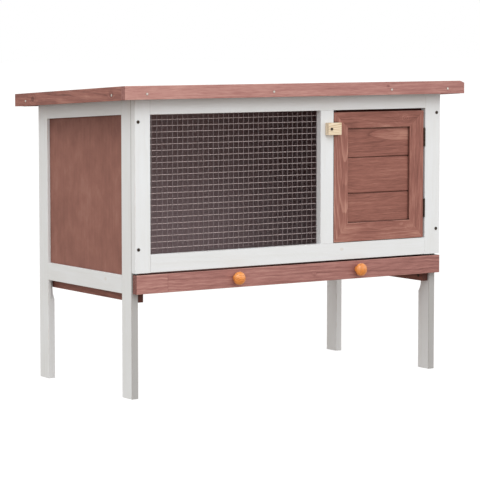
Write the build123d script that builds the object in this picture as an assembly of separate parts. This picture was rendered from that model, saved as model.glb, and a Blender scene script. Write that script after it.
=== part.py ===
from build123d import *
import math
import os

# Rabbit hutch on four legs: a mesh-fronted cabinet with a hinged door, a turn button and a pull-out tray.
# All lengths are in millimetres. +X is right as seen from the front, +Y is back, +Z is up.
# The origin is on the ground, below the middle of the roof.
# Each section below makes some of the pieces and files them in PIECES under their own names.

# ---- driving dimensions ----------------------------------------------------------------------------

# Overall
ROOF_LENGTH = 883.0
ROOF_DEPTH = 467.5
ROOF_FRONT_TOP = 651.0
ROOF_REAR_TOP = 623.8
FRONT_OVERHANG = 47.75  # from the front fascia's face to the front posts' faces
BODY_WIDTH = 798.0
BODY_DEPTH = 392.0

# Timber sections
STOCK = 15.5  # thickness of posts, side rails, fascias and runners
POST_WIDTH = 39.0
FRAME_THICK = 15.5  # thickness of the front frame
LEFT_STILE_WIDTH = 37.0
MIDDLE_STILE_WIDTH = 34.4
EASE = 0.6  # easing of the timber's long edges

# Side frames
SIDE_LIP = 6.5  # timber left outside the side panel
REBATE = 9.0
REBATE_END = 198.0  # height at which the posts' rebate starts to run out
CUTTER_RADIUS = 35.0
SIDE_RAIL_BOTTOM = 218.0
SIDE_RAIL_TOP = 256.0
SIDE_OPENING_DROP = 56.5  # from the roof's top surface down to the side opening
PANEL_THICK = 5.0
PANEL_PLAY = 0.5

# Front frame
FRAME_BOTTOM = 263.7
OPENING_BOTTOM = 301.0
OPENING_TOP = 590.4
MESH_OPENING_WIDTH = 432.3
DOOR_OPENING_WIDTH = 252.6

# Back
BACK_PANEL_THICK = 4.0
BACK_PANEL_BOTTOM = 202.0
BACK_PANEL_INSET = 3.2  # at each side
REAR_TOP_RAIL_WIDTH = 39.0

# Roof
DECK_THICK = 9.0
ROOF_THICK = 25.5  # deck and battens together
FASCIA_FRONT_HEIGHT = 28.4
FASCIA_REAR_HEIGHT = 27.1
ROOF_BOARD_COUNT = 5
BATTEN_CENTRES = (-75.0, 238.0)  # battens between the two over the side frames
BLOCK_CENTRES = (-181.0, 185.0)
BLOCK_WIDTH = 27.0
FASCIA_CLIP = (11.6, 4.6)  # knocked-off top corner at the right end of the front fascia

# Wire mesh
MESH_PITCH = 12.7
MESH_COLUMNS = 36
MESH_ROWS = 25
WIRE_RADIUS = 0.45
WIRE_OVERRUN = 2.0

# Door
DOOR_LATCH_GAP = 1.2
DOOR_HINGE_GAP = 4.8
DOOR_TOP_GAP = 5.0
DOOR_BOTTOM_GAP = 1.2
DOOR_THICK = 15.2
DOOR_STILE_WIDTH = 38.0
DOOR_TOP_RAIL = 35.0
DOOR_BOTTOM_RAIL = 40.5
DOOR_BOARD_THICK = 9.5
DOOR_BOARD_COVER = 78.7  # width of one board from groove to groove
DOOR_BOARD_LAP = 8.0
LOWER_GROOVE = 407.0  # height of the lower of the two grooves between the boards
TONGUE = 3.5
TONGUE_PLAY = 0.1
STOP_WIDTH = 23.0
STOP_THICK = 10.0
STOP_LAP = 8.5  # how far the stop stands into the doorway

# Hinges
HINGE_CENTRES = (526.0, 368.0)
HINGE_HEIGHT = 40.0
KNUCKLE_COUNT = 5
KNUCKLE_RADIUS = 2.0
KNUCKLE_GAP = 0.3
PIN_RADIUS = 1.0
PIN_PLAY = 0.05
LEAF_THICK = 1.2
LEAF_REACH = 11.3  # from the hinge axis to the leaf's far edge
LEAF_NOTCH = 2.6
AXIS_STANDOFF = 0.7  # hinge axis in front of the frame's face

# Turn button
BUTTON_PIVOT = (89.8, 550.5)
BUTTON_ENDS = (-7.8, 27.2)
BUTTON_HALF_HEIGHT = 13.2
BUTTON_THICK = 12.6
BUTTON_CLEARANCE = 0.3
BUTTON_SCREW_RADIUS = 2.0
BUTTON_SCREW_PLAY = 0.06

# Tray
TRAY_FRONT_BOTTOM = 220.6
TRAY_FRONT_TOP = 260.0
TRAY_FRONT_FACE = 3.0  # in front of the frame's face
TRAY_FRONT_WIDTH = 795.5
TRAY_SIDE_THICK = 8.0
TRAY_SIDE_TOP = 257.0
TRAY_SIDE_PLAY = 2.5
TRAY_REST_GAP = 0.3
TRAY_SHEET_THICK = 3.0
TRAY_SHEET_BOTTOM = 228.0
TRAY_GROOVE = 4.0
RUNNER_BOTTOM = 200.7
RUNNER_TOP = 223.0
RUNNER_SETBACK = 5.0
KNOB_CENTRES = (-152.0, 169.0)
KNOB_HEIGHT = 241.0
KNOB_RADIUS = 14.2
KNOB_PROJECTION = 22.5

# Fasteners
DOWEL_RADIUS = 3.0
DOWEL_IN_STILE = 12.0
DOWEL_IN_POST = 8.0
DOWEL_IN_RAIL = 18.0
NAIL_HEAD_THICK = 0.8

# ---- places worked out from the driving dimensions -------------------------------------------------

ROOF_FRONT = -ROOF_DEPTH / 2
ROOF_REAR = ROOF_DEPTH / 2
ROOF_SLOPE = (ROOF_FRONT_TOP - ROOF_REAR_TOP) / ROOF_DEPTH
ROOF_ANGLE = math.atan(ROOF_SLOPE)
POST_FRONT = ROOF_FRONT + FRONT_OVERHANG
POST_REAR = POST_FRONT + BODY_DEPTH
SIDE_OPENING_FRONT = POST_FRONT + POST_WIDTH
SIDE_OPENING_REAR = POST_REAR - POST_WIDTH
BODY_LEFT = -BODY_WIDTH / 2
BODY_RIGHT = BODY_WIDTH / 2
INNER_HALF_WIDTH = BODY_WIDTH / 2 - STOCK
RUNNER_MIDDLE = (RUNNER_BOTTOM + RUNNER_TOP) / 2
FRAME_FACE = POST_FRONT - FRAME_THICK
MESH_LEFT = BODY_LEFT + LEFT_STILE_WIDTH
MESH_RIGHT = MESH_LEFT + MESH_OPENING_WIDTH
DOORWAY_LEFT = MESH_RIGHT + MIDDLE_STILE_WIDTH
DOORWAY_RIGHT = DOORWAY_LEFT + DOOR_OPENING_WIDTH
BIG = 2000.0  # larger than the whole hutch

PIECES = {}


# ---- helpers ---------------------------------------------------------------------------------------


def block(x0, x1, y0, y1, z0, z1):
    """A squared board, given by its faces."""
    return Pos((x0 + x1) / 2, (y0 + y1) / 2, (z0 + z1) / 2) * Box(x1 - x0, y1 - y0, z1 - z0)


def board(x0, x1, y0, y1, z0, z1, along):
    """A squared board with its long edges eased."""
    solid = block(x0, x1, y0, y1, z0, z1)
    return chamfer(solid.edges().filter_by(along), EASE)


def side_prism(points, x0, x1):
    """A solid with an outline of (y, z) points, between two X planes."""
    face = Plane.YZ.offset(x0) * Polygon(*points, align=None)
    return extrude(face, amount=x1 - x0, dir=(1, 0, 0))


def front_prism(points, y0, y1):
    """A solid with an outline of (x, z) points, between two Y planes."""
    face = Plane.XZ.offset(-y0) * Polygon(*points, align=None)
    return extrude(face, amount=y1 - y0, dir=(0, 1, 0))


def rod(start, direction, length, radius):
    """A round rod from start, along direction."""
    return Solid.make_cylinder(radius, length, Plane(origin=start, z_dir=direction))


def roof_z(y):
    """Height of the roof's top surface."""
    return ROOF_FRONT_TOP - (y - ROOF_FRONT) * ROOF_SLOPE


def below_roof(part, drop):
    """The part cut off at the plane that lies drop below the roof's top surface."""
    y0, y1 = ROOF_FRONT - STOCK, ROOF_REAR + STOCK
    waste = side_prism([(y0, roof_z(y0) - drop), (y1, roof_z(y1) - drop), (y1, BIG), (y0, BIG)], -BIG, BIG)
    return part - waste


def headed(start, direction, length, radius, head_radius, head_thick):
    """A nail or screw: its shank goes from start along direction, and its head stands behind start."""
    back = Vector(start) - Vector(direction).normalized() * head_thick
    return rod(start, direction, length, radius) + rod(back, direction, head_thick, head_radius)


def cross_recess(start, direction, across, width, depth):
    """The cross cut in a screw's head, sunk from start along direction."""
    plane = Plane(origin=start, z_dir=direction)
    cut = Box(across, width, 2 * depth) + Box(width, across, 2 * depth)
    return plane.location * cut


def drill(part, fasteners):
    """The part with room for the fasteners that go through it."""
    return part - fasteners


def mirrored(part):
    """The same piece on the other side of the hutch."""
    return mirror(part, about=Plane.YZ)


def board_section(across0, across1, thickness, tongue, groove, vee):
    """Outline of a tongued and grooved board as (across, depth) points, with its tongue at across1."""
    upper, lower = thickness / 3, thickness * 2 / 3
    points = [(across0 + vee, 0), (across1 - vee, 0), (across1, vee)]
    if tongue:
        tip = across1 + TONGUE
        points += [(across1, upper + TONGUE_PLAY), (tip, upper + TONGUE_PLAY)]
        points += [(tip, lower - TONGUE_PLAY), (across1, lower - TONGUE_PLAY)]
    points += [(across1, thickness), (across0, thickness)]
    if groove:
        root = across0 + TONGUE + TONGUE_PLAY
        points += [(across0, lower), (root, lower), (root, upper), (across0, upper)]
    points += [(across0, vee)]
    return points


# ---- side frames -----------------------------------------------------------------------------------


def post_rebate(edge, inward):
    """Waste of the rebate that holds the side panel, with the round run-out that the cutter leaves.

    edge is the Y of the post's edge beside the panel, and inward is the way into the post.
    """
    x0, x1 = BODY_LEFT + SIDE_LIP, BODY_LEFT + STOCK
    shoulder = edge + inward * REBATE
    near, far = sorted((shoulder, edge - inward * REBATE))
    straight = block(x0, x1, near, far, REBATE_END, BIG)
    centre = (x0, shoulder - inward * CUTTER_RADIUS, REBATE_END)
    return straight + rod(centre, (1, 0, 0), x1 - x0, CUTTER_RADIUS)


def side_frame():
    """Posts, rails and panel of the left side."""
    outer, inner = BODY_LEFT, BODY_LEFT + STOCK
    lip = BODY_LEFT + SIDE_LIP
    front = board(outer, inner, POST_FRONT, SIDE_OPENING_FRONT, 0, BIG, Axis.Z)
    rear = board(outer, inner, SIDE_OPENING_REAR, POST_REAR, 0, BIG, Axis.Z)
    front_post = below_roof(front - post_rebate(SIDE_OPENING_FRONT, -1), ROOF_THICK)
    rear_post = below_roof(rear - post_rebate(SIDE_OPENING_REAR, 1), ROOF_THICK)

    # The rails lap into the posts' rebates behind the lip.
    y0, y1 = SIDE_OPENING_FRONT, SIDE_OPENING_REAR
    lap0, lap1 = y0 - REBATE, y1 + REBATE
    bottom_rail = board(outer, lip, y0, y1, SIDE_RAIL_BOTTOM, SIDE_RAIL_TOP, Axis.Y)
    bottom_rail += block(lip, inner, lap0, lap1, SIDE_RAIL_BOTTOM, SIDE_RAIL_TOP - REBATE)

    def rail_outline(ya, yb, drop):
        """Outline between the roof's underside and a line drop below its top surface."""
        low = [(ya, roof_z(ya) - drop), (yb, roof_z(yb) - drop)]
        return low + [(yb, roof_z(yb) - ROOF_THICK), (ya, roof_z(ya) - ROOF_THICK)]

    top_rail = side_prism(rail_outline(y0, y1, SIDE_OPENING_DROP), outer, lip)
    top_rail += side_prism(rail_outline(lap0, lap1, SIDE_OPENING_DROP - REBATE), lip, inner)

    p0, p1 = lap0 + PANEL_PLAY, lap1 - PANEL_PLAY
    panel_drop = SIDE_OPENING_DROP - REBATE + PANEL_PLAY
    panel_bottom = SIDE_RAIL_TOP - REBATE + PANEL_PLAY
    outline = [(p0, panel_bottom), (p1, panel_bottom)]
    outline += [(p1, roof_z(p1) - panel_drop), (p0, roof_z(p0) - panel_drop)]
    panel = side_prism(outline, lip, lip + PANEL_THICK)
    return {
        "front_post": front_post,
        "rear_post": rear_post,
        "bottom_rail": bottom_rail,
        "top_rail": top_rail,
        "panel": panel,
    }


for name, piece in side_frame().items():
    PIECES["left_" + name] = piece
    PIECES["right_" + name] = mirrored(piece)

# ---- front frame -----------------------------------------------------------------------------------


def front_frame():
    """Stiles and rails around the mesh opening and the doorway."""

    def member(x0, x1, z0, z1, along):
        return below_roof(board(x0, x1, FRAME_FACE, POST_FRONT, z0, z1, along), ROOF_THICK)

    return {
        "front_left_stile": member(BODY_LEFT, MESH_LEFT, FRAME_BOTTOM, BIG, Axis.Z),
        "front_right_stile": member(DOORWAY_RIGHT, BODY_RIGHT, FRAME_BOTTOM, BIG, Axis.Z),
        "front_top_rail": member(MESH_LEFT, DOORWAY_RIGHT, OPENING_TOP, BIG, Axis.X),
        "front_bottom_rail": member(MESH_LEFT, DOORWAY_RIGHT, FRAME_BOTTOM, OPENING_BOTTOM, Axis.X),
        "front_middle_stile": member(MESH_RIGHT, DOORWAY_LEFT, OPENING_BOTTOM, OPENING_TOP, Axis.Z),
        "door_stop": block(
            DOORWAY_LEFT + STOP_LAP - STOP_WIDTH,
            DOORWAY_LEFT + STOP_LAP,
            POST_FRONT,
            POST_FRONT + STOP_THICK,
            OPENING_BOTTOM + REBATE,
            OPENING_TOP - REBATE,
        ),
    }


PIECES.update(front_frame())

# ---- back ------------------------------------------------------------------------------------------


def back():
    """Rails between the rear posts, the lower one level with the runners, and the panel nailed over them."""
    x0, x1 = -INNER_HALF_WIDTH, INNER_HALF_WIDTH
    y0, y1 = POST_REAR - STOCK, POST_REAR
    top_rail_bottom = roof_z(POST_REAR) - ROOF_THICK - REAR_TOP_RAIL_WIDTH
    rear_face = POST_REAR + BACK_PANEL_THICK
    half = BODY_RIGHT - BACK_PANEL_INSET
    panel = block(-half, half, POST_REAR, rear_face, BACK_PANEL_BOTTOM, BIG)
    return {
        "rear_top_rail": below_roof(block(x0, x1, y0, y1, top_rail_bottom, BIG), ROOF_THICK),
        "rear_bottom_rail": block(x0, x1, y0, y1, RUNNER_BOTTOM, RUNNER_TOP),
        "back_panel": below_roof(panel, ROOF_THICK),
    }


PIECES.update(back())

# ---- wire mesh -------------------------------------------------------------------------------------

MESH_X0 = (MESH_LEFT + MESH_RIGHT - MESH_COLUMNS * MESH_PITCH) / 2
MESH_Z0 = (OPENING_BOTTOM + OPENING_TOP - MESH_ROWS * MESH_PITCH) / 2
MESH_X1 = MESH_X0 + MESH_COLUMNS * MESH_PITCH
MESH_Z1 = MESH_Z0 + MESH_ROWS * MESH_PITCH
UPRIGHT_WIRE_Y = POST_FRONT + WIRE_RADIUS
CROSS_WIRE_Y = UPRIGHT_WIRE_Y + 2 * WIRE_RADIUS
STAPLE_SECTION = 0.8
STAPLE_LENGTH = 8.0
STAPLE_HALF_CROWN = 4.0
STAPLE_COLUMNS = (2, 9, 15, 21, 27, 34)
STAPLE_ROWS = (4, 12, 20)


def wire_mesh():
    """Upright wires against the frame's back, and cross wires behind them."""
    height = MESH_ROWS * MESH_PITCH + 2 * WIRE_OVERRUN
    width = MESH_COLUMNS * MESH_PITCH + 2 * WIRE_OVERRUN
    foot, left = MESH_Z0 - WIRE_OVERRUN, MESH_X0 - WIRE_OVERRUN
    uprights = [
        rod((MESH_X0 + i * MESH_PITCH, UPRIGHT_WIRE_Y, foot), (0, 0, 1), height, WIRE_RADIUS)
        for i in range(MESH_COLUMNS + 1)
    ]
    cross_wires = [
        rod((left, CROSS_WIRE_Y, MESH_Z0 + i * MESH_PITCH), (1, 0, 0), width, WIRE_RADIUS)
        for i in range(MESH_ROWS + 1)
    ]
    return uprights + cross_wires


def staple(x, z, upright):
    """A staple over the wire at x, z: its crown lies across an upright wire or a cross wire."""
    half, thin = STAPLE_HALF_CROWN, STAPLE_SECTION / 2
    y0 = CROSS_WIRE_Y + WIRE_RADIUS
    wide, tall = (half, thin) if upright else (thin, half)
    solid = block(x - wide, x + wide, y0, y0 + STAPLE_SECTION, z - tall, z + tall)
    for way in (-1, 1):
        lx = x + way * (half - thin) if upright else x
        lz = z if upright else z + way * (half - thin)
        solid += block(lx - thin, lx + thin, y0 - STAPLE_LENGTH, y0, lz - thin, lz + thin)
    return solid


def mesh_staples():
    """Staples along all four edges of the mesh."""
    half = MESH_PITCH / 2
    staples = []
    for column in STAPLE_COLUMNS:
        for z in (MESH_Z0 + half, MESH_Z1 - half):
            staples.append(staple(MESH_X0 + column * MESH_PITCH, z, True))
    for row in STAPLE_ROWS:
        for x in (MESH_X0 + half, MESH_X1 - half):
            staples.append(staple(x, MESH_Z0 + row * MESH_PITCH, False))
    return staples


PIECES["wire_mesh"] = wire_mesh()
PIECES["mesh_staples"] = mesh_staples()

# ---- roof ------------------------------------------------------------------------------------------

DECK_HALF_LENGTH = ROOF_LENGTH / 2 - STOCK
DECK_FRONT = ROOF_FRONT + STOCK
DECK_REAR = ROOF_REAR - STOCK
DECK_VEE = 1.5
BATTEN_XS = (BODY_LEFT + STOCK / 2,) + BATTEN_CENTRES + (BODY_RIGHT - STOCK / 2,)


def sloping(y0, y1, drop0, drop1, x0, x1):
    """A bar between two depths below the roof's top surface."""
    outline = [(y0, roof_z(y0) - drop0), (y1, roof_z(y1) - drop0)]
    outline += [(y1, roof_z(y1) - drop1), (y0, roof_z(y0) - drop1)]
    return side_prism(outline, x0, x1)


def roof_boards():
    """Tongued and grooved deck boards, laid along X on the slope, first one at the front."""
    run = (DECK_REAR - DECK_FRONT) / math.cos(ROOF_ANGLE)
    width = run / ROOF_BOARD_COUNT
    cos, sin = math.cos(ROOF_ANGLE), math.sin(ROOF_ANGLE)
    boards = {}
    for i in range(ROOF_BOARD_COUNT):
        last = i == ROOF_BOARD_COUNT - 1
        section = board_section(i * width, (i + 1) * width, DECK_THICK * cos, not last, i > 0, DECK_VEE)
        outline = [
            (DECK_FRONT + across * cos - depth * sin, roof_z(DECK_FRONT) - across * sin - depth * cos)
            for across, depth in section
        ]
        board = side_prism(outline, -DECK_HALF_LENGTH, DECK_HALF_LENGTH)
        board &= block(-BIG, BIG, DECK_FRONT, DECK_REAR, 0, BIG)
        boards[f"roof_board_{i + 1}"] = board
    return boards


def roof_battens():
    """Battens under the deck from front to back, and the blocks that carry the side fascias."""
    half = STOCK / 2
    solids = [sloping(DECK_FRONT, DECK_REAR, DECK_THICK, ROOF_THICK, x - half, x + half) for x in BATTEN_XS]
    for y in BLOCK_CENTRES:
        y0, y1 = y - BLOCK_WIDTH / 2, y + BLOCK_WIDTH / 2
        right = sloping(y0, y1, DECK_THICK, ROOF_THICK, BODY_RIGHT, DECK_HALF_LENGTH)
        solids += [right, mirrored(right)]
    return solids


def fascias():
    """Boards around the roof's edge."""
    half = ROOF_LENGTH / 2
    front_low = ROOF_FRONT_TOP - FASCIA_FRONT_HEIGHT
    rear_low = ROOF_REAR_TOP - FASCIA_REAR_HEIGHT

    def low(y):
        return front_low + (rear_low - front_low) * (y - ROOF_FRONT) / ROOF_DEPTH

    front = below_roof(board(-half, half, ROOF_FRONT, DECK_FRONT, front_low, BIG, Axis.X), 0)
    wide, high = FASCIA_CLIP
    corner = [(half - wide, ROOF_FRONT_TOP), (half, ROOF_FRONT_TOP - high), (half, BIG), (half - wide, BIG)]
    front -= front_prism(corner, ROOF_FRONT, DECK_FRONT)
    outline = [(DECK_FRONT, low(DECK_FRONT)), (ROOF_REAR, rear_low), (ROOF_REAR, ROOF_REAR_TOP)]
    outline.append((DECK_FRONT, roof_z(DECK_FRONT)))
    left = side_prism(outline, -half, -DECK_HALF_LENGTH)
    rear = below_roof(block(-DECK_HALF_LENGTH, DECK_HALF_LENGTH, DECK_REAR, ROOF_REAR, rear_low, BIG), 0)
    return {"front_fascia": front, "left_fascia": left, "right_fascia": mirrored(left), "rear_fascia": rear}


PIECES.update(roof_boards())
PIECES["roof_battens"] = roof_battens()
PIECES.update(fascias())

# ---- door ------------------------------------------------------------------------------------------

DOOR_LEFT = DOORWAY_LEFT + DOOR_LATCH_GAP
DOOR_RIGHT = DOORWAY_RIGHT - DOOR_HINGE_GAP
DOOR_LOW = OPENING_BOTTOM + DOOR_BOTTOM_GAP
DOOR_HIGH = OPENING_TOP - DOOR_TOP_GAP
DOOR_BACK = FRAME_FACE + DOOR_THICK
SIGHT_LEFT = DOOR_LEFT + DOOR_STILE_WIDTH
SIGHT_RIGHT = DOOR_RIGHT - DOOR_STILE_WIDTH
SIGHT_LOW = DOOR_LOW + DOOR_BOTTOM_RAIL
SIGHT_HIGH = DOOR_HIGH - DOOR_TOP_RAIL
BOARD_FACE = DOOR_BACK - DOOR_BOARD_THICK
DOOR_VEE = 2.0


def door_frame():
    """Four mitred members, rebated at the back for the boards."""

    def corners(x0, x1, z0, z1):
        return [(x0, z0), (x1, z0), (x1, z1), (x0, z1)]

    outer = corners(DOOR_LEFT, DOOR_RIGHT, DOOR_LOW, DOOR_HIGH)
    inner = corners(SIGHT_LEFT, SIGHT_RIGHT, SIGHT_LOW, SIGHT_HIGH)
    x0, x1 = SIGHT_LEFT - DOOR_BOARD_LAP, SIGHT_RIGHT + DOOR_BOARD_LAP
    z0, z1 = SIGHT_LOW - DOOR_BOARD_LAP, SIGHT_HIGH + DOOR_BOARD_LAP
    rebate = block(x0, x1, BOARD_FACE, DOOR_BACK, z0, z1)
    frame = {}
    for i, name in enumerate(("door_bottom_rail", "door_right_stile", "door_top_rail", "door_left_stile")):
        j = (i + 1) % len(outer)
        member = front_prism([outer[i], outer[j], inner[j], inner[i]], FRAME_FACE, DOOR_BACK)
        along = Axis.X if i % 2 == 0 else Axis.Z
        front_edges = member.edges().filter_by(along).group_by(Axis.Y)[0]
        frame[name] = chamfer(front_edges, EASE) - rebate
    return frame


def door_boards():
    """Three boards across the door, with a vee groove at each joint."""
    x0, x1 = SIGHT_LEFT - DOOR_BOARD_LAP + PANEL_PLAY, SIGHT_RIGHT + DOOR_BOARD_LAP - PANEL_PLAY
    low, high = SIGHT_LOW - DOOR_BOARD_LAP + PANEL_PLAY, SIGHT_HIGH + DOOR_BOARD_LAP - PANEL_PLAY
    joints = (low, LOWER_GROOVE, LOWER_GROOVE + DOOR_BOARD_COVER, high)
    boards = {}
    names = ("door_board_bottom", "door_board_middle", "door_board_top")
    for i, name in enumerate(names):
        tongue = i < len(names) - 1
        section = board_section(joints[i], joints[i + 1], DOOR_BOARD_THICK, tongue, i > 0, DOOR_VEE)
        boards[name] = side_prism([(BOARD_FACE + depth, across) for across, depth in section], x0, x1)
    return boards


PIECES.update(door_frame())
PIECES.update(door_boards())

# ---- hinges ----------------------------------------------------------------------------------------

AXIS_X = DOORWAY_RIGHT - DOOR_HINGE_GAP / 2
AXIS_Y = FRAME_FACE - AXIS_STANDOFF
PIN_CAP_RADIUS = 1.5
PIN_CAP_THICK = 0.8
HINGE_SCREW_RADIUS = 1.0
HINGE_SCREW_HEAD = 1.9
HINGE_SCREW_LENGTH = 9.0
HINGE_SCREW_OFFSET = 12.0
HINGE_SCREW_DEPTH = 6.8  # screws' line, back from the hinge axis


def hinge_leaf(centre, way, first, bore):
    """One leaf with its knuckles. way is -1 for the door's leaf and 1 for the frame's."""
    near, far = sorted((way * (DOOR_HINGE_GAP / 2 - LEAF_THICK), way * DOOR_HINGE_GAP / 2))
    x0, x1 = AXIS_X + near, AXIS_X + far
    low = centre - HINGE_HEIGHT / 2
    pitch = HINGE_HEIGHT / KNUCKLE_COUNT
    leaf = block(x0, x1, AXIS_Y + LEAF_NOTCH, AXIS_Y + LEAF_REACH, low, low + HINGE_HEIGHT)
    for i in range(first, KNUCKLE_COUNT, 2):
        z0, z1 = low + i * pitch + KNUCKLE_GAP / 2, low + (i + 1) * pitch - KNUCKLE_GAP / 2
        leaf += block(x0, x1, AXIS_Y, AXIS_Y + LEAF_NOTCH, z0, z1)
        leaf += rod((AXIS_X, AXIS_Y, z0), (0, 0, 1), z1 - z0, KNUCKLE_RADIUS)
    return leaf - rod((AXIS_X, AXIS_Y, low), (0, 0, 1), HINGE_HEIGHT, bore)


def hinge_pin(centre):
    """Pin with a cap at each end."""
    low = centre - HINGE_HEIGHT / 2
    pin = rod((AXIS_X, AXIS_Y, low), (0, 0, 1), HINGE_HEIGHT, PIN_RADIUS)
    pin += rod((AXIS_X, AXIS_Y, low - PIN_CAP_THICK), (0, 0, 1), PIN_CAP_THICK, PIN_CAP_RADIUS)
    return pin + rod((AXIS_X, AXIS_Y, low + HINGE_HEIGHT), (0, 0, 1), PIN_CAP_THICK, PIN_CAP_RADIUS)


def hinge_screws(way):
    """Countersunk screws that hold one side's leaves, with heads flush in the leaves."""
    inside = AXIS_X + way * (DOOR_HINGE_GAP / 2)
    screws = []
    for centre in HINGE_CENTRES:
        for offset in (-HINGE_SCREW_OFFSET, HINGE_SCREW_OFFSET):
            start = (inside, AXIS_Y + HINGE_SCREW_DEPTH, centre + offset)
            shank = (HINGE_SCREW_LENGTH, HINGE_SCREW_RADIUS)
            screws.append(headed(start, (way, 0, 0), *shank, HINGE_SCREW_HEAD, LEAF_THICK))
    return screws


FRAME_HINGE_SCREWS = hinge_screws(1)
DOOR_HINGE_SCREWS = hinge_screws(-1)
PIECES["hinge_frame_leaves"] = [
    drill(hinge_leaf(centre, 1, 0, PIN_RADIUS), FRAME_HINGE_SCREWS) for centre in HINGE_CENTRES
]
PIECES["hinge_door_leaves"] = [
    drill(hinge_leaf(centre, -1, 1, PIN_RADIUS + PIN_PLAY), DOOR_HINGE_SCREWS) for centre in HINGE_CENTRES
]
PIECES["hinge_pins"] = [hinge_pin(centre) for centre in HINGE_CENTRES]
PIECES["hinge_frame_screws"] = FRAME_HINGE_SCREWS
PIECES["hinge_door_screws"] = DOOR_HINGE_SCREWS
PIECES["front_right_stile"] = drill(PIECES["front_right_stile"], FRAME_HINGE_SCREWS)
PIECES["door_right_stile"] = drill(PIECES["door_right_stile"], DOOR_HINGE_SCREWS)

# ---- turn button -----------------------------------------------------------------------------------

BUTTON_BACK = FRAME_FACE - BUTTON_CLEARANCE
BUTTON_FACE = BUTTON_BACK - BUTTON_THICK
BUTTON_ROUNDING = 1.0
BUTTON_HEAD_RADIUS = 2.9
BUTTON_HEAD_THICK = 1.6
BUTTON_HEAD_GAP = 0.2
BUTTON_RECESS = (3.2, 0.8, 0.8)  # across, width and depth of the screw's cross
BUTTON_SCREW_STOP = 1.0  # left between the screw's tip and the back of the stile


def turn_button():
    """Wooden block that turns on one screw."""
    x, z = BUTTON_PIVOT
    x0, x1 = x + BUTTON_ENDS[0], x + BUTTON_ENDS[1]
    button = block(x0, x1, BUTTON_FACE, BUTTON_BACK, z - BUTTON_HALF_HEIGHT, z + BUTTON_HALF_HEIGHT)
    button = fillet(button.edges(), BUTTON_ROUNDING)
    hole = rod((x, BUTTON_FACE, z), (0, 1, 0), BUTTON_THICK, BUTTON_SCREW_RADIUS + BUTTON_SCREW_PLAY)
    return button - hole


def turn_button_screw():
    """Round-headed screw through the button into the middle stile."""
    x, z = BUTTON_PIVOT
    start = (x, BUTTON_FACE - BUTTON_HEAD_GAP, z)
    length = POST_FRONT - BUTTON_SCREW_STOP - start[1]
    screw = headed(start, (0, 1, 0), length, BUTTON_SCREW_RADIUS, BUTTON_HEAD_RADIUS, BUTTON_HEAD_THICK)
    recess = cross_recess((x, start[1] - BUTTON_HEAD_THICK, z), (0, 1, 0), *BUTTON_RECESS)
    return screw - recess


PIECES["turn_button"] = turn_button()
PIECES["turn_button_screw"] = turn_button_screw()
PIECES["front_middle_stile"] = drill(PIECES["front_middle_stile"], [PIECES["turn_button_screw"]])

# ---- tray and runners ------------------------------------------------------------------------------

TRAY_FACE = FRAME_FACE - TRAY_FRONT_FACE
TRAY_BACK_OF_FRONT = TRAY_FACE + STOCK
TRAY_REAR = POST_REAR - TRAY_REST_GAP
TRAY_HALF = INNER_HALF_WIDTH - TRAY_SIDE_PLAY
TRAY_LOW = RUNNER_TOP + TRAY_REST_GAP
KNOB_SCREW_RADIUS = 1.75
KNOB_SCREW_BITE = 12.0
KNOB_SCREW_HEAD = (3.5, 1.8)  # radius and thickness
# The knob's turned profile as (radius, distance from the tray's face), and the middle of each of its curves.
KNOB_PROFILE = ((8.0, 0.0), (6.5, 6.0), (11.8, 8.4), (KNOB_RADIUS, 13.0), (10.8, 19.2))
KNOB_BENDS = ((9.6, 6.8), (13.6, 10.4), (13.3, 16.6))
RUNNER_SCREW_RADIUS = 1.5
RUNNER_SCREW_BITE = 10.0
RUNNER_SCREW_INSET = 13.0  # from the runner's rear end
RUNNER_SCREW_HEAD = (3.0, 1.0)


def tray():
    """Front board, two sides, back and the sheet that slots into all four."""
    half, groove = TRAY_HALF, TRAY_GROOVE
    sheet_top = TRAY_SHEET_BOTTOM + TRAY_SHEET_THICK
    inner = half - TRAY_SIDE_THICK
    slot = block(
        -inner - groove,
        inner + groove,
        TRAY_BACK_OF_FRONT - groove,
        TRAY_REAR - TRAY_SIDE_THICK + groove,
        TRAY_SHEET_BOTTOM,
        sheet_top,
    )
    front_half = TRAY_FRONT_WIDTH / 2
    ends = (-front_half, front_half)
    front = board(*ends, TRAY_FACE, TRAY_BACK_OF_FRONT, TRAY_FRONT_BOTTOM, TRAY_FRONT_TOP, Axis.X)
    right = block(inner, half, TRAY_BACK_OF_FRONT, TRAY_REAR, TRAY_LOW, TRAY_SIDE_TOP) - slot
    rear = block(-inner, inner, TRAY_REAR - TRAY_SIDE_THICK, TRAY_REAR, TRAY_LOW, TRAY_SIDE_TOP) - slot
    return {
        "tray_front": front - slot,
        "tray_left_side": mirrored(right),
        "tray_right_side": right,
        "tray_back": rear,
        "tray_bottom": slot,
    }


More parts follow.
